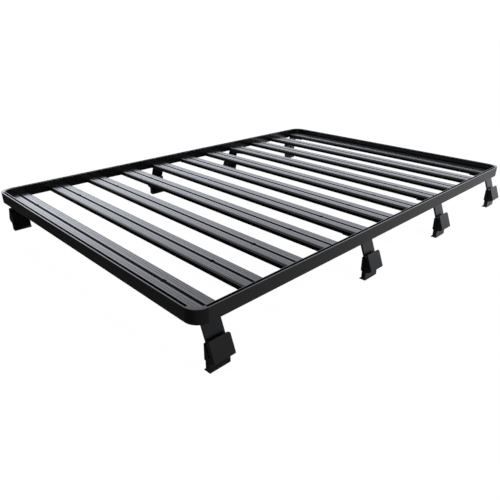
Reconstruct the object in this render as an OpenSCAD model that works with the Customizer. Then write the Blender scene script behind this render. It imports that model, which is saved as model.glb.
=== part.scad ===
// Flat platform roof rack: extruded slats in a rounded rail frame, carried on eight gutter feet
// Millimetres. +X to the right side, +Y to the rear, +Z up. The feet stand on z = 0.

/* [Platform] */
// Overall width over the side rails
rack_w = 1490; // [1100:10:1800]
// Distance between the centre lines of neighbouring slats
slat_pitch = 202; // [140:1:260]
// Distance from the outer face of the front rail to the first slat's centre line
end_margin = 74; // [68:1:120]
// Number of slats
slat_count = 11; // [11:1:11]
// Height from the soles of the feet to the top of the rails
rack_h = 215; // [212:1:300]

/* [Rails] */
// Height of the rail profile
rail_h = 51; // [50:1:70]
// Width of the rail profile's top
rail_w = 17; // [15:0.5:20]
// Wall of the rail profile
rail_wall = 2.5; // [1.5:0.1:3]
// Radius of the edges along the rail's top
rail_edge_r = 1.2; // [0.4:0.1:1.4]
// Width of the lip outside the groove's mouth, which reaches to the inner wall
lip_w = 4.2; // [3.5:0.1:8]
// Thickness of that lip
groove_lip = 1.8; // [1.5:0.1:2.5]
// Depth of the groove, lips included
groove_depth = 12; // [8:0.5:16]
// Reach of the shelf that carries the slat ends
shelf_w = 5.5; // [3:0.5:6]
// Thickness of that shelf
shelf_t = 3.5; // [2:0.5:3.5]
// Outer radius of the corner castings
corner_r = 50; // [42:1:56]
// Length of the spigots that join a corner casting to the rails
spigot_l = 40; // [20:1:60]
// Clearance round a spigot in the rail
spigot_gap = 0.2; // [0.1:0.05:0.5]

/* [Slats] */
// Width of a slat
slat_w = 92; // [80:1:110]
// Thickness of a slat
slat_t = 21; // [19:0.5:22.5]
// How far a slat's top lies below the rail's top
slat_drop = 25.5; // [16:0.5:25.5]
// Radius of a slat's upper edges
slat_round = 8; // [3:0.5:12]
// Wall of the slat profile
slat_wall = 2.5; // [2:0.1:3]
// Width of the mouth of the bolt slots
slot_w = 10.5; // [6:0.1:13]
// Thickness of the lips beside the mouth
slot_lip = 2.5; // [2:0.1:3]
// Width of the chamber that holds a bolt head
slot_head_w = 17; // [15:0.1:19]
// Height of that chamber
slot_head_h = 5.8; // [4:0.1:6]
// Distance between the fine grooves on a slat's top
flute_pitch = 9; // [7:0.5:11]
// Width of a fine groove
flute_w = 1.6; // [0.6:0.1:2.4]
// Depth of a fine groove
flute_d = 0.8; // [0.3:0.1:1.2]
// Length of the widened entry in the upper bolt slot
entry_l = 16; // [14:1:30]
// Distance from the rack's middle to an entry
entry_x = 490; // [200:5:520]
// Clearance between a slat's end and the rail
slat_gap = 0.3; // [0:0.1:1]

/* [Legs] */
// Width of a leg along the rail
leg_w = 72; // [60:1:80]
// Thickness of the leg's plate
leg_t = 8; // [5:0.5:8.5]
// Lean of the leg from upright
leg_lean = 21.5; // [21:0.5:25]
// How far inboard of the rail's outer face the leg passes the rail's underside
leg_inset = 26; // [24:0.5:27]
// Outside radius of the leg's bend
leg_bend = 12; // [10:0.5:14]
// Reach of the leg's flange inboard of the rail's outer face
flange_reach = 125; // [100:1:160]
// Chamfer on the two inboard corners of the flange
flange_chamfer = 12; // [4:1:20]
// Height of the leg's lower end above the soles
leg_end_h = 54; // [50:1:58]

/* [Gutter feet] */
// Length of a foot along the rail
foot_w = 82; // [80:1:100]
// Distance from the rail's outer face in to a foot's back face
foot_back = 10; // [9.5:0.5:12]
// Distance from the rail's outer face out to a foot's lower front face
foot_front = 14.5; // [12:0.5:17]
// Height of the back wall's top above the soles
foot_top_h = 97; // [90:1:98]
// Height of the outer arm's top above the soles
arm_top_h = 101; // [92:1:104]
// Height of the top of the mouth that takes the gutter's edge
mouth_top_h = 37; // [34:1:42]
// Height of the bottom of that mouth
mouth_low_h = 8; // [7:1:14]
// Depth of that mouth
mouth_d = 5.5; // [4:0.5:9]
// Height of the hook's upright edge below the mouth
hook_h = 3; // [2:0.5:5]
// Distance from the rail's outer face in to the hook's edge
hook_reach = 12; // [6:0.5:14]
// Clearance round the leg in a foot
leg_gap = 0.2; // [0.1:0.05:0.5]

/* [Clamp plates] */
// Thickness of a clamp plate
plate_t = 5; // [3:0.5:8]
// Distance between the leg's outer face and the clamp plate, level
plate_off = 14.5; // [12:0.5:18]
// Height of the clamp plate's top above the soles
plate_top_h = 111; // [106:1:116]
// Height of the clamp plate's lower end above the soles
plate_low_h = 45; // [43:1:48]
// Radius of the clamp plate's rear upper corner
plate_r = 9; // [4:0.5:14]
// Radius of the clamp plate's other corners
plate_small_r = 3; // [1:0.5:6]

/* [Hidden] */
$fn = 64;
eps = 0.01;
over = 1;
front_y = -((slat_count - 1) * slat_pitch / 2 + end_margin);
rack_l = -2 * front_y;
side_x = rack_w / 2;
rail_z = rack_h - rail_h;
slat_top = rack_h - slat_drop;
slat_z = slat_top - slat_t;
slat_l = rack_w - 2 * (rail_w + slat_gap);
entry_w = slot_head_w;
flute_first = 2 * flute_pitch;
flutes_a_side = 3;
foot_slats = [1, 5, 8, 11];
leg_turn = 90 - leg_lean;
bend_run = leg_bend * tan(leg_turn / 2);
bend_steps = 12;
leg_l = (slat_z - leg_end_h) / cos(leg_lean) - bend_run;
mouth_slope = 3;
wedge_rise = 9;
wedge_short = 2;

// Place of slat number i along the rack, the first at the front
function slat_y(i) = front_y + end_margin + (i - 1) * slat_pitch;

// Outer face of the leg at height z, measured out from the rail's outer face
function leg_x(z) = -leg_inset + (rail_z - z) * tan(leg_lean);

// Inner face of the clamp plate at height z
function plate_in(z) = leg_x(z) + plate_off;

// Outline of the rail: x runs inwards from the outer face, y up from the underside
module rail_outline() {
  translate([rail_edge_r, rail_edge_r]) square([rail_w - 2 * rail_edge_r, rail_h - 2 * rail_edge_r]);
  translate([0, rail_edge_r]) square([rail_w, rail_h - 2 * rail_edge_r]);
  translate([rail_edge_r, 0]) square([rail_w - 2 * rail_edge_r, rail_h]);
  for (x = [rail_edge_r, rail_w - rail_edge_r], y = [rail_edge_r, rail_h - rail_edge_r])
    translate([x, y]) circle(rail_edge_r);
  translate([rail_w - rail_wall, slat_z - rail_z - shelf_t]) square([rail_wall + shelf_w, shelf_t]);
}

// Hollow below the groove, which also takes the corner's spigot
module rail_hollow(gap = 0) {
  translate([rail_wall + gap, rail_wall + gap])
    square([rail_w - 2 * (rail_wall + gap), rail_h - groove_depth - 2 * rail_wall - 2 * gap]);
}

module rail_profile() {
  difference() {
    rail_outline();
    rail_hollow();
    translate([lip_w, rail_h - groove_lip - eps]) square([rail_w - rail_wall - lip_w, groove_lip + over]);
    translate([rail_wall, rail_h - groove_depth]) square([rail_w - 2 * rail_wall, groove_depth - groove_lip]);
  }
}

module cross_rail() {
  color([0.07, 0.07, 0.075])
    translate([-(side_x - corner_r), front_y, rail_z])
      rotate([90, 0, 90]) linear_extrude(rack_w - 2 * corner_r) rail_profile();
}

module side_rail() {
  color([0.07, 0.07, 0.075])
    translate([-side_x, rack_l / 2 - corner_r, rail_z])
      rotate([90, 0, 0]) linear_extrude(rack_l - 2 * corner_r) rail_profile();
}

module spigot() {
  rotate([90, 0, 0]) linear_extrude(spigot_l + eps) rail_hollow(spigot_gap);
}

// Front left corner casting, a quarter ring with a spigot for each rail
module corner() {
  color([0.09, 0.09, 0.095])
    translate([-side_x, front_y, rail_z]) {
      translate([corner_r, corner_r, 0])
        rotate([0, 0, 180]) rotate_extrude(angle = 90) translate([corner_r, 0]) mirror([1, 0]) rail_outline();
      translate([0, corner_r + spigot_l, 0]) spigot();
      mirror([1, -1, 0]) translate([0, corner_r + spigot_l, 0]) spigot();
    }
}

// Cross section of a slat, x along the rack and y up from its underside
module slat_outline() {
  square_w = slat_w - 2 * slat_round;
  translate([-slat_w / 2, 0]) square([slat_w, slat_t - slat_round]);
  translate([-square_w / 2, 0]) square([square_w, slat_t]);
  for (s = [-1, 1])
    translate([s * square_w / 2, slat_t - slat_round]) circle(slat_round);
}

// Bolt slot cut down from y = 0
module bolt_slot() {
  translate([-slot_w / 2, -slot_lip - eps]) square([slot_w, slot_lip + over]);
  translate([-slot_head_w / 2, -slot_lip - slot_head_h]) square([slot_head_w, slot_head_h]);
}

module side_chamber() {
  chamber_x = slot_head_w / 2 + slat_wall;
  chamber_w = slat_w / 2 - slat_wall - chamber_x;
  chamber_h = slat_t - 2 * slat_wall - flute_d;
  bevel = slat_round - slat_wall;
  translate([chamber_x, slat_wall])
    polygon([[0, 0], [chamber_w, 0], [chamber_w, chamber_h - bevel], [chamber_w - bevel, chamber_h], [0, chamber_h]]);
}

module slat_profile() {
  difference() {
    slat_outline();
    translate([0, slat_t]) bolt_slot();
    mirror([0, 1]) bolt_slot();
    for (s = [0, 1]) mirror([s, 0]) side_chamber();
    for (s = [-1, 1], k = [0 : flutes_a_side - 1])
      translate([s * (flute_first + k * flute_pitch) - flute_w / 2, slat_t - flute_d]) square([flute_w, flute_d + over]);
  }
}

// Inside of the rail frame, with the slats' end clearance taken off
module frame_well() {
  well_r = corner_r - rail_w - slat_gap;
  well_x = side_x - corner_r;
  well_y = rack_l / 2 - corner_r;
  linear_extrude(rack_h) {
    square([2 * (well_x + well_r), 2 * well_y], center = true);
    square([2 * well_x, 2 * (well_y + well_r)], center = true);
    for (x = [-well_x, well_x], y = [-well_y, well_y]) translate([x, y]) circle(well_r);
  }
}

module full_slat(i) {
  translate([-slat_l / 2, slat_y(i), slat_z])
    difference() {
      rotate([90, 0, 90]) linear_extrude(slat_l) slat_profile();
      for (s = [-1, 1])
        translate([slat_l / 2 + s * entry_x - entry_l / 2, -entry_w / 2, slat_t - slot_lip - eps])
          cube([entry_l, entry_w, slot_lip + over]);
    }
}

// The end slats are trimmed to the round inside of the corner castings
module slat(i) {
  color([0.1, 0.1, 0.105])
    if (i == 1 || i == slat_count) intersection() {
      full_slat(i);
      frame_well();
    }
    else full_slat(i);
}

// Points of an arc about c from angle a to angle b
function arc(c, r, a, b) =
  [for (k = [0 : bend_steps]) let (turn = a + (b - a) * k / bend_steps) c + r * [cos(turn), sin(turn)]];

// Side view of the leg: x out from the rail's outer face, y up from the soles
module leg_profile() {
  bend_c = [leg_x(slat_z) - bend_run, slat_z - leg_bend];
  bend_end = bend_c + leg_bend * [cos(leg_lean), sin(leg_lean)];
  leg_end = bend_end + leg_l * [sin(leg_lean), -cos(leg_lean)];
  polygon(concat(
    [[-flange_reach, slat_z - leg_t], [-flange_reach, slat_z]],
    arc(bend_c, leg_bend, 90, leg_lean),
    [leg_end, leg_end - leg_t * [cos(leg_lean), sin(leg_lean)]],
    arc(bend_c, leg_bend - leg_t, leg_lean, 90)
  ));
}

// Plan of the leg with the flange's chamfered corners
module leg_plan() {
  plan_out = leg_x(0);
  polygon([
    [plan_out, -leg_w / 2], [plan_out, leg_w / 2],
    [-flange_reach + flange_chamfer, leg_w / 2], [-flange_reach, leg_w / 2 - flange_chamfer],
    [-flange_reach, -leg_w / 2 + flange_chamfer], [-flange_reach + flange_chamfer, -leg_w / 2]
  ]);
}

// Puts a side view on the rack's right side, or its left, at slat number i
module at_foot(side, i) {
  mirror([side < 0 ? 1 : 0, 0, 0]) translate([side_x, slat_y(i), 0]) children();
}

module across(w) {
  translate([0, w / 2, 0]) rotate([90, 0, 0]) linear_extrude(w) children();
}

module leg(side, k) {
  color([0.08, 0.08, 0.085])
    at_foot(side, foot_slats[k - 1]) intersection() {
      across(leg_w) leg_profile();
      linear_extrude(slat_z) leg_plan();
    }
}

// Slanted space for the leg's lower end
module leg_pocket() {
  bend_x = leg_x(slat_z) - bend_run;
  translate([bend_x, slat_z - leg_bend]) rotate(-leg_turn)
    translate([0, leg_bend - leg_t - leg_gap]) square([leg_l, leg_t + 2 * leg_gap]);
}

// Side view of a gutter foot
module foot_profile() {
  wedge_low = plate_low_h - wedge_short;
  difference() {
    polygon([
      [-foot_back, foot_top_h], [-foot_back, mouth_top_h + mouth_slope],
      [mouth_d - foot_back, mouth_top_h], [mouth_d - foot_back, mouth_low_h],
      [-hook_reach, hook_h], [-hook_reach, 0], [foot_front, 0],
      [foot_front, wedge_low - wedge_rise], [plate_in(wedge_low), wedge_low],
      [plate_in(arm_top_h), arm_top_h], [leg_x(arm_top_h) + leg_gap, arm_top_h],
      [leg_x(foot_top_h), foot_top_h]
    ]);
    leg_pocket();
  }
}

module foot(side, k) {
  color([0.09, 0.09, 0.095])
    at_foot(side, foot_slats[k - 1]) across(foot_w) foot_profile();
}

// Outline of the clamp plate, x along the rail and y down its slope
module plate_outline() {
  plate_l = (plate_top_h - plate_low_h) / cos(leg_lean);
  half_w = foot_w / 2;
  small = plate_small_r;
  difference() {
    translate([-half_w, -plate_l]) square([foot_w, plate_l]);
    translate([half_w - plate_r, -plate_r]) square(plate_r + over);
    translate([half_w - small, -plate_l - over]) square(small + over);
    translate([-half_w - over, -plate_l - over]) square(small + over);
  }
  translate([half_w - plate_r, -plate_r]) circle(plate_r);
  for (s = [-1, 1]) translate([s * (half_w - small), -plate_l + small]) circle(small);
}

module clamp_plate(side, k) {
  color([0.1, 0.1, 0.105])
    at_foot(side, foot_slats[k - 1])
      translate([plate_in(plate_top_h), 0, plate_top_h])
        rotate([0, -leg_lean, 0]) rotate([90, 0, 90]) linear_extrude(plate_t) plate_outline();
}

cross_rail();  // front_rail
mirror([0, 1, 0]) cross_rail();  // rear_rail
side_rail();  // left_rail
mirror([1, 0, 0]) side_rail();  // right_rail
corner();  // corner_front_left
mirror([1, 0, 0]) corner();  // corner_front_right
mirror([0, 1, 0]) corner();  // corner_rear_left
mirror([1, 0, 0]) mirror([0, 1, 0]) corner();  // corner_rear_right
slat(1);  // slat_01
slat(2);  // slat_02
slat(3);  // slat_03
slat(4);  // slat_04
slat(5);  // slat_05
slat(6);  // slat_06
slat(7);  // slat_07
slat(8);  // slat_08
slat(9);  // slat_09
slat(10);  // slat_10
slat(11);  // slat_11
leg(-1, 1);  // leg_left_1
leg(-1, 2);  // leg_left_2
leg(-1, 3);  // leg_left_3
leg(-1, 4);  // leg_left_4
leg(1, 1);  // leg_right_1
leg(1, 2);  // leg_right_2
leg(1, 3);  // leg_right_3
leg(1, 4);  // leg_right_4
foot(-1, 1);  // foot_left_1
foot(-1, 2);  // foot_left_2
foot(-1, 3);  // foot_left_3
foot(-1, 4);  // foot_left_4
foot(1, 1);  // foot_right_1
foot(1, 2);  // foot_right_2
foot(1, 3);  // foot_right_3
foot(1, 4);  // foot_right_4
clamp_plate(-1, 1);  // clamp_left_1
clamp_plate(-1, 2);  // clamp_left_2
clamp_plate(-1, 3);  // clamp_left_3
clamp_plate(-1, 4);  // clamp_left_4
clamp_plate(1, 1);  // clamp_right_1
clamp_plate(1, 2);  // clamp_right_2
clamp_plate(1, 3);  // clamp_right_3
clamp_plate(1, 4);  // clamp_right_4
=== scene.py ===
import math

import bpy
from mathutils import Matrix, Vector


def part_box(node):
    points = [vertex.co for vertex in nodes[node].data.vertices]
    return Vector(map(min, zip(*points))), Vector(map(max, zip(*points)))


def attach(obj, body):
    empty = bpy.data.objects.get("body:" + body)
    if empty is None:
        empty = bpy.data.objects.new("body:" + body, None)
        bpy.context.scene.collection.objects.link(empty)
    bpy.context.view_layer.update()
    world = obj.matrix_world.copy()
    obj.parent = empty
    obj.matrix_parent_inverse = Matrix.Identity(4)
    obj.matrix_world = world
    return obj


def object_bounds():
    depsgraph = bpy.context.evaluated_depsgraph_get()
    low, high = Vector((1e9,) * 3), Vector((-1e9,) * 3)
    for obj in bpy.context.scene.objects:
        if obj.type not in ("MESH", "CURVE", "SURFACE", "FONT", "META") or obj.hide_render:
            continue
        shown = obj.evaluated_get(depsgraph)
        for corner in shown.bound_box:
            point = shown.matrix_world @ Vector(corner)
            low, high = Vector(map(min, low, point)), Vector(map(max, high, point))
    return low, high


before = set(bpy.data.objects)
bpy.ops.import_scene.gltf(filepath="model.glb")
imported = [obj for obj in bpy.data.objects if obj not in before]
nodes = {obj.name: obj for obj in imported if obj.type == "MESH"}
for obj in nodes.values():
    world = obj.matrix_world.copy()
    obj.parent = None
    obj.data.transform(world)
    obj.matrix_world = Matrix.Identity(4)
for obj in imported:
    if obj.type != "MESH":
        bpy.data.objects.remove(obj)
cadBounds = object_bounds()
scene = bpy.context.scene
print("frame loaded:", len(nodes), "nodes")


def middleOf(nodeName):
    low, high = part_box(nodeName)
    return (low + high) / 2


# camera

cameraSetup = {
    "place": (1.6361, -1.7472, 0.9301),  # metres
    "heading": 45.567,                   # degrees from +Y towards -X
    "drop": 25.331,                      # degrees below level
    "roll": 0.114,                       # degrees about the line of sight
    "lens": 34.42,                       # mm
    "sensor": 36.0,                      # mm
    "sight": 200.0,                      # metres, past the far edge of the floor
}


def makeCamera(setup):
    camData = bpy.data.cameras.new("camera")
    camData.lens = setup["lens"]
    camData.sensor_width = setup["sensor"]
    camData.clip_end = setup["sight"]
    cam = bpy.data.objects.new("camera", camData)
    cam.location = setup["place"]
    turn = Matrix.Rotation(math.radians(setup["heading"]), 3, "Z")
    turn @= Matrix.Rotation(math.radians(90 - setup["drop"]), 3, "X")
    turn @= Matrix.Rotation(math.radians(setup["roll"]), 3, "Z")
    cam.rotation_euler = turn.to_euler()
    scene.collection.objects.link(cam)
    scene.camera = cam


makeCamera(cameraSetup)
print("camera set")


# small helpers for node trees

def feed(tree, value, socket):
    # links another node's output, or sets a plain number, vector or colour
    if isinstance(value, bpy.types.NodeSocket):
        tree.links.new(value, socket)
    elif socket.type == "RGBA":
        socket.default_value = (*value, 1.0)
    else:
        socket.default_value = value


def addNode(tree, kind, settings=None, **inputs):
    node = tree.nodes.new(kind)
    for name, value in (settings or {}).items():
        setattr(node, name, value)
    for name, value in inputs.items():
        feed(tree, value, node.inputs[name.replace("_", " ")])
    return node


def mathNode(tree, operation, *values, clamp=False):
    node = addNode(tree, "ShaderNodeMath", {"operation": operation, "use_clamp": clamp})
    for value, socket in zip(values, node.inputs):
        feed(tree, value, socket)
    return node.outputs[0]


def mixValue(tree, factor, first, second):
    return mathNode(tree, "MULTIPLY_ADD", mathNode(tree, "SUBTRACT", second, first), factor, first)


def mixColour(tree, factor, first, second):
    node = addNode(tree, "ShaderNodeMix", {"data_type": "RGBA"}, Factor=factor, A=first, B=second)
    return node.outputs["Result"]


def mixShader(tree, factor, first, second):
    node = addNode(tree, "ShaderNodeMixShader")
    for value, socket in zip((factor, first, second), node.inputs):
        feed(tree, value, socket)
    return node.outputs[0]


def mapRange(tree, value, source, target=(0.0, 1.0), smooth=False):
    shape = "SMOOTHSTEP" if smooth else "LINEAR"
    node = addNode(tree, "ShaderNodeMapRange", {"interpolation_type": shape}, Value=value,
                   From_Min=source[0], From_Max=source[1], To_Min=target[0], To_Max=target[1])
    return node.outputs["Result"]


def splitVector(tree, vector):
    return addNode(tree, "ShaderNodeSeparateXYZ", Vector=vector).outputs


def noiseOf(tree, vector, scale, detail, roughness):
    node = addNode(tree, "ShaderNodeTexNoise", Vector=vector, Scale=scale, Detail=detail, Roughness=roughness)
    return node.outputs["Fac"]


def newGroup(name, values, outputs):
    # reads a vector and the given values, and puts out masks and heights
    group = bpy.data.node_groups.new(name, "ShaderNodeTree")
    group.interface.new_socket(name="Vector", in_out="INPUT", socket_type="NodeSocketVector")
    for label, value in values.items():
        kind = "NodeSocketVector" if isinstance(value, tuple) else "NodeSocketFloat"
        socket = group.interface.new_socket(name=label, in_out="INPUT", socket_type=kind)
        socket.default_value = value
    for label in outputs:
        group.interface.new_socket(name=label, in_out="OUTPUT", socket_type="NodeSocketFloat")
    return group, group.nodes.new("NodeGroupInput").outputs, group.nodes.new("NodeGroupOutput").inputs


def useGroup(tree, group, vector, **values):
    return addNode(tree, "ShaderNodeGroup", {"node_tree": group}, Vector=vector, **values).outputs


# shared surface effects; each noise is given by its detail and roughness, sizes are in metres

peelSetup = {
    "pebble": 0.0012, "speckle": 0.0004,
    "pebbleNoise": (2.0, 0.5), "speckleNoise": (1.0, 0.6),
    "speckleShare": 0.35,  # height of the speckle beside the pebbles
    "middle": 0.5,         # of the noise
}


def makeOrangePeel(setup):
    # height and gloss of a sprayed and baked powder coat
    values = {"Pebble Size": setup["pebble"], "Speckle Size": setup["speckle"]}
    group, source, sink = newGroup("orangePeel", values, ("Height", "Gloss Shift"))
    pebbleScale = mathNode(group, "DIVIDE", 1.0, source["Pebble Size"])
    speckleScale = mathNode(group, "DIVIDE", 1.0, source["Speckle Size"])
    pebble = noiseOf(group, source["Vector"], pebbleScale, *setup["pebbleNoise"])
    speckle = noiseOf(group, source["Vector"], speckleScale, *setup["speckleNoise"])
    height = mathNode(group, "MULTIPLY_ADD", speckle, setup["speckleShare"], pebble)
    feed(group, height, sink["Height"])
    feed(group, mathNode(group, "SUBTRACT", speckle, setup["middle"]), sink["Gloss Shift"])
    return group


wearAndHighlightSetup = {
    "width": 0.0008,
    "patchiness": 60.0,     # patches in a metre
    "corner": (0.99, 0.8),  # cosine between the flat and the rounded normal, from no edge to full
    "noise": (3.0, 0.65), "patches": (0.42, 0.7),
    "samples": 4,
}


def makeEdgeWearAndHighlight(setup):
    # mask along the solid's edges, broken up by noise: rubbed coat, and on the legs, clamps and feet a
    # painted highlight
    values = {"Width": setup["width"], "Patchiness": setup["patchiness"]}
    group, source, sink = newGroup("edgeWearAndHighlight", values, ("Mask",))
    bevel = addNode(group, "ShaderNodeBevel", {"samples": setup["samples"]}, Radius=source["Width"])
    geometry = addNode(group, "ShaderNodeNewGeometry")
    dot = addNode(group, "ShaderNodeVectorMath", {"operation": "DOT_PRODUCT"})
    feed(group, bevel.outputs["Normal"], dot.inputs[0])
    feed(group, geometry.outputs["Normal"], dot.inputs[1])
    edge = mapRange(group, dot.outputs["Value"], setup["corner"])
    noise = noiseOf(group, source["Vector"], source["Patchiness"], *setup["noise"])
    patches = mapRange(group, noise, setup["patches"])
    feed(group, mathNode(group, "MULTIPLY", edge, patches, clamp=True), sink["Mask"])
    return group


dustSetup = {
    "patch": 0.12,
    "facing": (0.6, 1.0),  # upward share of the normal
    "noise": (5.0, 0.6), "clouds": (0.35, 0.75), "cover": (0.2, 1.0),
}


def makeDustFilm(setup):
    # thin, uneven dust that settles on what faces up
    group, source, sink = newGroup("dustFilm", {"Patch Size": setup["patch"]}, ("Mask",))
    geometry = addNode(group, "ShaderNodeNewGeometry")
    up = mapRange(group, splitVector(group, geometry.outputs["Normal"])["Z"], setup["facing"])
    scale = mathNode(group, "DIVIDE", 1.0, source["Patch Size"])
    cloud = noiseOf(group, source["Vector"], scale, *setup["noise"])
    patches = mapRange(group, cloud, setup["clouds"], setup["cover"])
    feed(group, mathNode(group, "MULTIPLY", up, patches), sink["Mask"])
    return group


lengthwise = (1.0, 0.02, 1.0)  # draws the noise out along Y, so that its lines run that way
crosswise = (0.02, 1.0, 1.0)   # and along X

lineSetup = {"line": 0.0011, "along": crosswise, "noise": (2.0, 0.55)}


def makeDrawLines(setup):
    # faint lines that the die leaves along an extruded profile
    values = {"Along": setup["along"], "Line Size": setup["line"]}
    group, source, sink = newGroup("drawLines", values, ("Height",))
    stretch = addNode(group, "ShaderNodeVectorMath", {"operation": "MULTIPLY"})
    feed(group, source["Vector"], stretch.inputs[0])
    feed(group, source["Along"], stretch.inputs[1])
    scale = mathNode(group, "DIVIDE", 1.0, source["Line Size"])
    streak = noiseOf(group, stretch.outputs[0], scale, *setup["noise"])
    feed(group, streak, sink["Height"])
    return group


rubSetup = {
    "pitch": middleOf("slat_07").y - middleOf("slat_06").y,
    "front": 0.0074, "rear": 0.006,  # reach each way from the slot's middle
    "fade": 0.0002,
}


def makeSlotRub(setup):
    # matte band that sliding bolts leave beside each slat's slot, wider on the front lip
    values = {"Pitch": setup["pitch"], "Front": setup["front"], "Rear": setup["rear"]}
    group, source, sink = newGroup("slotRub", values, ("Mask",))
    halfPitch = mathNode(group, "MULTIPLY", source["Pitch"], 0.5)
    shifted = mathNode(group, "ADD", splitVector(group, source["Vector"])["Y"], halfPitch)
    wrapped = mathNode(group, "FLOORED_MODULO", shifted, source["Pitch"])
    across = mathNode(group, "SUBTRACT", wrapped, halfPitch)  # from the nearest slot, as one lies at Y 0
    ahead = mathNode(group, "ADD", across, source["Front"])
    behind = mathNode(group, "SUBTRACT", source["Rear"], across)
    inside = mathNode(group, "MINIMUM", ahead, behind)
    feed(group, mapRange(group, inside, (-setup["fade"], setup["fade"])), sink["Mask"])
    return group


orangePeel = makeOrangePeel(peelSetup)
edgeWearAndHighlight = makeEdgeWearAndHighlight(wearAndHighlightSetup)
dustFilm = makeDustFilm(dustSetup)
drawLines = makeDrawLines(lineSetup)
slotRub = makeSlotRub(rubSetup)
print("surface effects built")


# black powder coat of the rack's own pieces

railLook = {
    "colour": (0.0018, 0.0018, 0.0020),
    "bareAndHighlightColour": (0.10, 0.10, 0.105),        # paler colour along edges: rubbed coat, and where its share is high a painted highlight
    "wearAndHighlight": 0.06,                       # share of that paler colour along the edges
    "dust": 0.004,
    "dustColour": (0.30, 0.29, 0.27),
    "dustRoughness": 0.3,               # added under full dust
    "specular": 0.5, "ior": 1.5,
    "roughness": 0.22, "glossSpread": 0.08,
    "pebble": 0.0014,
    "edgeWidth": 0.0007,                # of the paler edges
    "edgeRadius": 0.0006,               # that the shading rounds
    "edgeSamples": 4,
    "bump": 0.2, "bumpDistance": 0.00003,
    "along": None, "lineDepth": 0.6,    # draw lines, only where along is set
    "slotRub": 0.0,                     # roughness added beside the slots
}
lengthRailLook = dict(railLook, along=lengthwise)
crossRailLook = dict(railLook, along=crosswise)
# painted light: the left rail's coat is made paler than the other rails', standing in for light that its
# inner face lacks
leftRailPaintedLightLook = dict(lengthRailLook, colour=(0.0050, 0.0050, 0.0053))
castingLook = dict(railLook, roughness=0.26, pebble=0.0018, specular=0.3)
slatLook = dict(railLook, along=crosswise, roughness=0.20, edgeRadius=0.0008, slotRub=0.6)
# painted highlight: legs, clamps and feet take a high share of the paler edge colour, which paints the light
# their edges catch
legLook = dict(railLook, roughness=0.30, pebble=0.0016, wearAndHighlight=0.4, edgeWidth=0.001, edgeRadius=0.0012)
clampLook = dict(legLook, wearAndHighlight=0.6, edgeWidth=0.0013)
footLook = dict(legLook, roughness=0.34, pebble=0.0018)

looks = {
    "left_rail": leftRailPaintedLightLook, "right_rail": lengthRailLook,
    "front_rail": crossRailLook, "rear_rail": crossRailLook,
    "corner": castingLook, "slat": slatLook, "leg": legLook, "clamp": clampLook, "foot": footLook,
}


def newMaterial(name):
    material = bpy.data.materials.new(name)
    material.use_nodes = True
    tree = material.node_tree
    coords = tree.nodes.new("ShaderNodeTexCoord").outputs["Object"]
    return material, tree, tree.nodes["Principled BSDF"].inputs, coords


def makeCoat(name, look):
    material, tree, surface, coords = newMaterial(name)
    surface["IOR"].default_value = look["ior"]
    surface["Specular IOR Level"].default_value = look["specular"]
    peel = useGroup(tree, orangePeel, coords, Pebble_Size=look["pebble"])
    wearAndHighlight = useGroup(tree, edgeWearAndHighlight, coords, Width=look["edgeWidth"])
    dust = useGroup(tree, dustFilm, coords)
    # paler edges: rubbed coat, and on legs, clamps and feet a painted highlight
    wornAndHighlit = mathNode(tree, "MULTIPLY", wearAndHighlight["Mask"], look["wearAndHighlight"])
    dusty = mathNode(tree, "MULTIPLY", dust["Mask"], look["dust"])
    colour = mixColour(tree, wornAndHighlit, look["colour"], look["bareAndHighlightColour"])
    feed(tree, mixColour(tree, dusty, colour, look["dustColour"]), surface["Base Color"])
    gloss = peel["Gloss Shift"]
    roughness = mathNode(tree, "MULTIPLY_ADD", gloss, look["glossSpread"], look["roughness"])
    roughness = mathNode(tree, "MULTIPLY_ADD", dusty, look["dustRoughness"], roughness, clamp=True)
    if look["slotRub"]:
        rubbed = useGroup(tree, slotRub, coords)["Mask"]
        roughness = mathNode(tree, "MULTIPLY_ADD", rubbed, look["slotRub"], roughness, clamp=True)
    feed(tree, roughness, surface["Roughness"])
    height = peel["Height"]
    if look["along"]:
        lines = useGroup(tree, drawLines, coords, Along=look["along"])
        height = mathNode(tree, "MULTIPLY_ADD", lines["Height"], look["lineDepth"], height)
    rounded = addNode(tree, "ShaderNodeBevel", {"samples": look["edgeSamples"]}, Radius=look["edgeRadius"])
    bump = addNode(tree, "ShaderNodeBump", Strength=look["bump"], Distance=look["bumpDistance"],
                   Height=height, Normal=rounded.outputs["Normal"])
    feed(tree, bump.outputs["Normal"], surface["Normal"])
    return material


coats = {name: makeCoat(name + "Coat", look) for name, look in looks.items()}


def coatFor(nodeName):
    # each rail has its own look, other nodes share one by the first word of their name
    return coats[nodeName] if nodeName in coats else coats[nodeName.split("_")[0]]


for nodeName, node in nodes.items():
    node.data.materials.clear()
    node.data.materials.append(coatFor(nodeName))
print("materials on", len(nodes), "nodes")


# fasteners, by geometry nodes

boltSizes = {  # metres, by the names of the tree's inputs
    "Head Radius": 0.0065, "Head Height": 0.0075,
    "Socket Radius": 0.0035, "Socket Depth": 0.004,
    "Washer Radius": 0.0085, "Washer Height": 0.0016,
    "Sink": 0.0005,  # how deep the washer sits in the plate
}
boltSides = {"round": 32, "socket": 6}

zincLook = {
    "colour": (0.035, 0.036, 0.038), "bareAndHighlightColour": (0.25, 0.25, 0.26), "wearAndHighlight": 0.5, "edgeWidth": 0.0004,
    "metallic": 0.85, "specular": 0.5, "roughness": 0.36, "glossSpread": 0.15,
    "pebble": 0.0009, "bump": 0.2, "bumpDistance": 0.00003,
}


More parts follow.
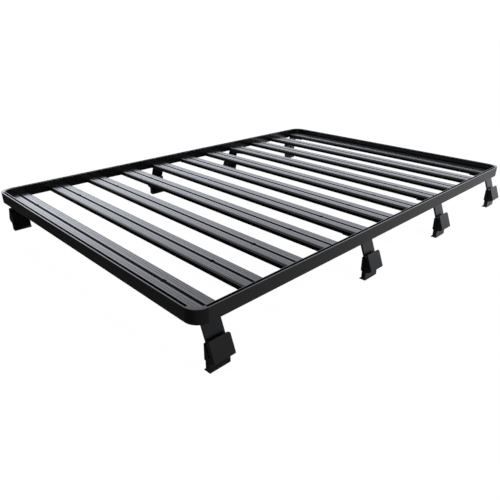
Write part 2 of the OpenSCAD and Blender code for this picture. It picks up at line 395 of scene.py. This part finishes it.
def makeZinc(look):
    material, tree, surface, coords = newMaterial("blackZinc")
    surface["Metallic"].default_value = look["metallic"]
    surface["Specular IOR Level"].default_value = look["specular"]
    peel = useGroup(tree, orangePeel, coords, Pebble_Size=look["pebble"])
    wearAndHighlight = useGroup(tree, edgeWearAndHighlight, coords, Width=look["edgeWidth"])
    wornAndHighlit = mathNode(tree, "MULTIPLY", wearAndHighlight["Mask"], look["wearAndHighlight"])
    feed(tree, mixColour(tree, wornAndHighlit, look["colour"], look["bareAndHighlightColour"]), surface["Base Color"])
    gloss = peel["Gloss Shift"]
    roughness = mathNode(tree, "MULTIPLY_ADD", gloss, look["glossSpread"], look["roughness"])
    feed(tree, roughness, surface["Roughness"])
    bump = addNode(tree, "ShaderNodeBump", Strength=look["bump"], Distance=look["bumpDistance"],
                   Height=peel["Height"])
    feed(tree, bump.outputs["Normal"], surface["Normal"])
    return material


def makeBoltTree(sizes, sides, material):
    # a washer and a socket head on each point, standing along the axis
    tree = bpy.data.node_groups.new("socketBolts", "GeometryNodeTree")
    tree.interface.new_socket(name="Geometry", in_out="INPUT", socket_type="NodeSocketGeometry")
    for label, size in sizes.items():
        socket = tree.interface.new_socket(name=label, in_out="INPUT", socket_type="NodeSocketFloat")
        socket.default_value = size
    tree.interface.new_socket(name="Axis", in_out="INPUT", socket_type="NodeSocketVector")
    tree.interface.new_socket(name="Geometry", in_out="OUTPUT", socket_type="NodeSocketGeometry")
    source = tree.nodes.new("NodeGroupInput").outputs
    sink = tree.nodes.new("NodeGroupOutput").inputs

    def cylinder(count, radius, depth, centre):
        mesh = addNode(tree, "GeometryNodeMeshCylinder", Vertices=count, Radius=radius, Depth=depth)
        place = addNode(tree, "ShaderNodeCombineXYZ", Z=centre)
        moved = addNode(tree, "GeometryNodeTransform", Geometry=mesh.outputs["Mesh"],
                        Translation=place.outputs[0])
        return moved.outputs["Geometry"]

    washerHeight = source["Washer Height"]
    washerMid = mathNode(tree, "MULTIPLY", mathNode(tree, "SUBTRACT", washerHeight, source["Sink"]), 0.5)
    washerFull = mathNode(tree, "ADD", washerHeight, source["Sink"])
    headMid = mathNode(tree, "MULTIPLY_ADD", source["Head Height"], 0.5, washerHeight)
    headTop = mathNode(tree, "ADD", washerHeight, source["Head Height"])
    cutDepth = mathNode(tree, "MULTIPLY", source["Socket Depth"], 2.0)  # half of it stands above the head
    washer = cylinder(sides["round"], source["Washer Radius"], washerFull, washerMid)
    head = cylinder(sides["round"], source["Head Radius"], source["Head Height"], headMid)
    socketCut = cylinder(sides["socket"], source["Socket Radius"], cutDepth, headTop)
    hollowed = addNode(tree, "GeometryNodeMeshBoolean", {"operation": "DIFFERENCE"},
                       Mesh_1=head, Mesh_2=socketCut)
    join = addNode(tree, "GeometryNodeJoinGeometry")
    for shape in (washer, hollowed.outputs["Mesh"]):
        feed(tree, shape, join.inputs[0])
    turn = addNode(tree, "FunctionNodeAlignRotationToVector", {"axis": "Z"}, Vector=source["Axis"])
    scatter = addNode(tree, "GeometryNodeInstanceOnPoints", Points=source["Geometry"],
                      Instance=join.outputs[0], Rotation=turn.outputs[0])
    realized = addNode(tree, "GeometryNodeRealizeInstances", Geometry=scatter.outputs[0])
    painted = addNode(tree, "GeometryNodeSetMaterial", Geometry=realized.outputs[0], Material=material)
    feed(tree, painted.outputs[0], sink["Geometry"])
    return tree


def makeBolts(name, tree, points, axis):
    mesh = bpy.data.meshes.new(name + "Points")
    mesh.from_pydata(points, [], [])
    holder = bpy.data.objects.new(name + "Points", mesh)
    scene.collection.objects.link(holder)
    modifier = holder.modifiers.new("bolts", "NODES")
    modifier.node_group = tree
    identifiers = {item.name: item.identifier for item in tree.interface.items_tree if item.in_out == "INPUT"}
    modifier[identifiers["Axis"]] = axis
    bpy.context.view_layer.update()
    evaluated = holder.evaluated_get(bpy.context.evaluated_depsgraph_get())
    finished = bpy.data.meshes.new_from_object(evaluated)
    bpy.data.objects.remove(holder)
    piece = bpy.data.objects.new(name, finished)
    scene.collection.objects.link(piece)
    for polygon in finished.polygons:
        polygon.use_smooth = False
    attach(piece, "root")


legBolts = {
    "fromRail": (0.060, 0.105),  # inwards from the rail's outer face
    "flange": 0.008,             # thickness of the plate under the slat
}
footBolts = {
    "heights": (0.058, 0.082),   # above the soles
    "behindHook": 0.002,         # from the hook's tip to the face that carries the bolts
}
legNumbers = range(1, 5)
rackSides = {"left": -1.0, "right": 1.0}
downward = (0.0, 0.0, -1.0)

bolts = makeBoltTree(boltSizes, boltSides, makeZinc(zincLook))
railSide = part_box("right_rail")[1].x
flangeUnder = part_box("slat_06")[0].z - legBolts["flange"]

flangePoints = []
for word, side in rackSides.items():
    for number in legNumbers:
        legY = middleOf(f"leg_{word}_{number}").y
        for reach in legBolts["fromRail"]:
            flangePoints.append((side * (railSide - reach), legY, flangeUnder))
makeBolts("flange_bolts", bolts, flangePoints, downward)

footCount = 0
for word, side in rackSides.items():
    footPoints = []
    for number in legNumbers:
        low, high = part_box(f"foot_{word}_{number}")
        innerX = (low.x if side > 0 else high.x) + side * footBolts["behindHook"]
        for height in footBolts["heights"]:
            footPoints.append((innerX, (low.y + high.y) / 2, height))
    makeBolts(f"foot_bolts_{word}", bolts, footPoints, (-side, 0.0, 0.0))
    footCount += len(footPoints)
print("bolts made:", len(flangePoints), "under the flanges and", footCount, "on the feet")


# floor and world, where each kind of ray sees its own shade

studio = {
    "white": 1.05,           # strength of the backdrop
    "ambient": 0.5,          # strength of the plain light all round
    "shadowDepth": 0.08,     # share of the floor's white that shadow can take away
    "floorSize": 60.0,       # metres along each side
    "floorDrop": 0.0005,     # metres below the soles
    "floorGrey": (0.8, 0.8, 0.8),
}
plainWhite = (1.0, 1.0, 1.0)


def shaderOf(tree, kind, strength=1.0, tint=plainWhite):
    return addNode(tree, kind, Color=tint, Strength=strength).outputs[0]


def byRay(tree, other, glossy, through, camera):
    path = tree.nodes.new("ShaderNodeLightPath").outputs
    surface = mixShader(tree, path["Is Glossy Ray"], other, glossy)
    surface = mixShader(tree, path["Is Transmission Ray"], surface, through)
    return mixShader(tree, path["Is Camera Ray"], surface, camera)


floorMirror = {  # what glossy rays see of the floor, in metres and shares of white: a painted pool of light, as the floor glows for these rays, with a painted shadow of the rack
    "turn": (0.8, 0.6),            # cosine and sine of the way it grows paler, from +X towards +Y
    "front": (0.034, 0.115),       # shades in front of the rack, along that way
    "frontReach": (-1.7, -0.5),
    "right": (0.325, 1.22),        # shades on its right, across that way, from beside it to far behind
    "rightReach": (-1.2, 6.0),
    "blend": (-0.5, 0.3),          # along that way, from the front's shades to the right's
    "lane": (0.60, 1.75),          # gain in the lane that the rack stands in, front to rear: painted light, paler towards the rear
    "laneWide": (0.035, 0.115),    # past the rack's sides, where the lane fades out
    "laneLong": 0.016,             # past its ends, where the gain stops changing
    "under": 0.06,                 # share left under the rack: the rack's painted shadow
    "underWide": (-0.065, 0.005),  # past its sides, where that shade fades out
    "underLong": (-0.064, 0.136),  # and past its ends
}


def mirroredFloor(tree, setup):
    split = splitVector(tree, tree.nodes.new("ShaderNodeTexCoord").outputs["Object"])
    cosine, sine = setup["turn"]
    along = mathNode(tree, "MULTIPLY", split["X"], cosine)
    along = mathNode(tree, "MULTIPLY_ADD", split["Y"], sine, along)
    across = mathNode(tree, "MULTIPLY", split["X"], -sine)
    across = mathNode(tree, "MULTIPLY_ADD", split["Y"], cosine, across)
    front = mapRange(tree, along, setup["frontReach"], setup["front"])
    right = mapRange(tree, across, setup["rightReach"], setup["right"])
    shade = mixValue(tree, mapRange(tree, along, setup["blend"], smooth=True), front, right)

    halfWide, halfLong = cadBounds[1][0], cadBounds[1][1]  # the rack is centred on the origin
    sideX = mathNode(tree, "ABSOLUTE", split["X"])
    sideY = mathNode(tree, "ABSOLUTE", split["Y"])

    def within(value, half, margins):
        # 1 inside, fading to 0 from one margin to the other
        return mapRange(tree, value, [half + margin for margin in margins], (1.0, 0.0), smooth=True)

    gainEnd = halfLong + setup["laneLong"]
    gain = mapRange(tree, split["Y"], (-gainEnd, gainEnd), setup["lane"])
    gain = mixValue(tree, within(sideX, halfWide, setup["laneWide"]), 1.0, gain)
    inX = within(sideX, halfWide, setup["underWide"])
    inY = within(sideY, halfLong, setup["underLong"])
    # painted shadow of the rack on the floor that glossy rays see
    cover = mixValue(tree, mathNode(tree, "MULTIPLY", inX, inY), 1.0, setup["under"])
    return mathNode(tree, "MULTIPLY", mathNode(tree, "MULTIPLY", shade, gain), cover)


def makeFloor():
    half = studio["floorSize"] / 2
    corners = [(-half, -half, 0), (half, -half, 0), (half, half, 0), (-half, half, 0)]
    mesh = bpy.data.meshes.new("floor")
    mesh.from_pydata(corners, [], [(0, 1, 2, 3)])
    floor = bpy.data.objects.new("floor", mesh)
    floor.location.z = -studio["floorDrop"]
    scene.collection.objects.link(floor)
    material = bpy.data.materials.new("paleFloor")
    material.use_nodes = True
    tree = material.node_tree
    tree.nodes.clear()
    output = tree.nodes.new("ShaderNodeOutputMaterial")
    plain = addNode(tree, "ShaderNodeBsdfDiffuse", Color=studio["floorGrey"]).outputs[0]
    mirrored = shaderOf(tree, "ShaderNodeEmission", mirroredFloor(tree, floorMirror))
    # seen by the camera: white, with a share left to real light so that shadow shows
    lit = addNode(tree, "ShaderNodeBsdfDiffuse", Color=plainWhite).outputs[0]
    glow = shaderOf(tree, "ShaderNodeEmission", studio["white"])
    seen = mixShader(tree, studio["shadowDepth"], glow, lit)
    feed(tree, byRay(tree, plain, mirrored, glow, seen), output.inputs["Surface"])
    mesh.materials.append(material)


skyMirror = {  # what glossy rays see of the sky
    # strength by degrees round the rack, from its left side towards its rear
    "around": (
        (-180, 0.9), (-30, 1.0), (15, 3.4), (45, 2.05),
        (90, 2.05), (120, 1.7), (150, 0.4), (180, 0.9),
    ),
    # share of it by height, from the horizon to straight up
    "up": ((0.0, 0.8), (0.2, 0.7), (0.3, 1.22), (0.5, 0.88), (0.8, 0.2), (1.0, 0.15)),
    "top": 1.3,                # added straight above
    "topReach": (0.85, 0.98),  # heights over which that comes in
    "tint": (0.955, 0.985, 1.075),
}


def rampOf(tree, value, stops):
    # its stops are shares of the peak, which is multiplied in behind the ramp
    node = addNode(tree, "ShaderNodeValToRGB", Fac=value)
    elements = node.color_ramp.elements
    peak = max(strength for place, strength in stops)
    elements[0].position, elements[1].position = stops[0][0], stops[-1][0]
    for place, strength in stops[1:-1]:
        elements.new(place)
    for stop, (place, strength) in zip(elements, stops):
        stop.color = (strength / peak, strength / peak, strength / peak, 1.0)
    return mathNode(tree, "MULTIPLY", node.outputs["Color"], peak)


def mirroredSky(tree, setup):
    split = splitVector(tree, tree.nodes.new("ShaderNodeTexCoord").outputs["Generated"])
    leftward = mathNode(tree, "MULTIPLY", split["X"], -1.0)
    angle = mathNode(tree, "ARCTAN2", split["Y"], leftward)
    circle = [(degrees / 360 + 0.5, strength) for degrees, strength in setup["around"]]
    around = rampOf(tree, mapRange(tree, angle, (-math.pi, math.pi)), circle)
    top = mapRange(tree, split["Z"], setup["topReach"], (0.0, setup["top"]), smooth=True)
    return mathNode(tree, "MULTIPLY_ADD", around, rampOf(tree, split["Z"], setup["up"]), top)


def makeWorld():
    world = bpy.data.worlds.new("studio")
    world.use_nodes = True
    scene.world = world
    tree = world.node_tree
    tree.nodes.clear()
    output = tree.nodes.new("ShaderNodeOutputWorld")
    plain = shaderOf(tree, "ShaderNodeBackground", studio["ambient"])
    mirrored = shaderOf(tree, "ShaderNodeBackground", mirroredSky(tree, skyMirror), skyMirror["tint"])
    through = shaderOf(tree, "ShaderNodeBackground")
    seen = shaderOf(tree, "ShaderNodeBackground", studio["white"])
    feed(tree, byRay(tree, plain, mirrored, through, seen), output.inputs["Surface"])


# lamps, which gloss doesn't show

rackMiddle = (0.0, 0.0, 0.1)
lamps = [
    {"name": "topSoftbox", "place": (0.4, 0.6, 3.2), "aim": rackMiddle, "size": 2.4, "power": 30.0},
    {"name": "rearSoftbox", "place": (-2.6, 2.6, 1.8), "aim": rackMiddle, "size": 1.8, "power": 12.0},
]


def makeLamp(setup):
    data = bpy.data.lights.new(setup["name"], "AREA")
    data.shape = "SQUARE"
    data.size = setup["size"]
    data.energy = setup["power"]
    lamp = bpy.data.objects.new(setup["name"], data)
    lamp.location = setup["place"]
    aim = Vector(setup["aim"]) - Vector(setup["place"])
    lamp.rotation_euler = aim.to_track_quat("-Z", "Y").to_euler()
    lamp.visible_glossy = False
    scene.collection.objects.link(lamp)


makeFloor()
makeWorld()
for setup in lamps:
    makeLamp(setup)
scene.view_settings.view_transform = "Standard"
print("studio set")
